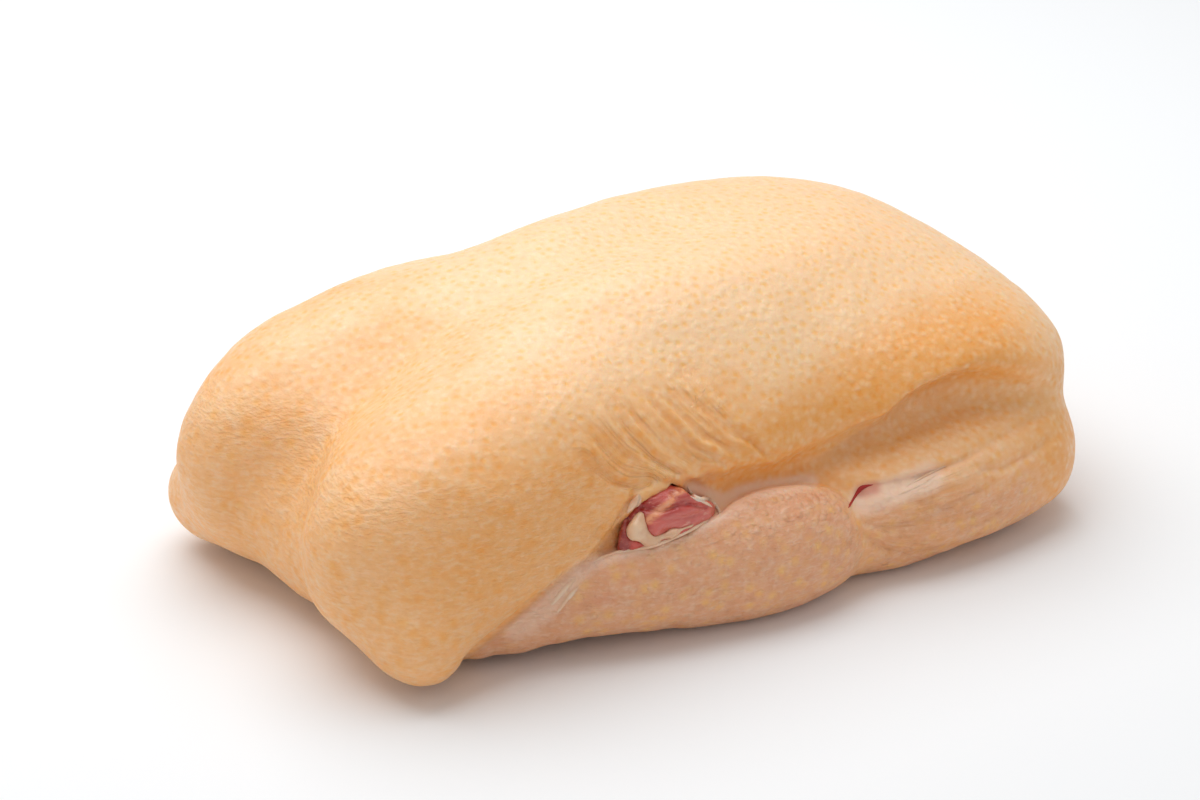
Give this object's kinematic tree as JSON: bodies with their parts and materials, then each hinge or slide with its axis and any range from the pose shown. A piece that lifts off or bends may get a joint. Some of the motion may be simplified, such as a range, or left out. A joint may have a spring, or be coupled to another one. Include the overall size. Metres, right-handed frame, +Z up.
{
  "type": "raw whole duck",
  "caption": "Raw plucked duck lying on its back for the oven, with legs tucked under the skin and wings cut at the elbow along its sides.",
  "frame": {"origin": "on the table under the middle of the bird, in the flat that it rests on", "axes": "+X towards the neck end, +Y towards the bird's right wing, +Z up out of the breast"},
  "size_m": [0.2956, 0.2169, 0.1019],
  "materials": {
    "skin": "moist fatty skin with feather pores",
    "meat": "wet raw meat",
    "gristle": "wet pale gristle"
  },
  "bodies": {
    "root": {"duck": "skin", "left_wing_meat": "meat", "left_wing_gristle": "gristle", "right_wing_meat": "meat", "right_wing_gristle": "gristle"}
  },
  "joints": []
}
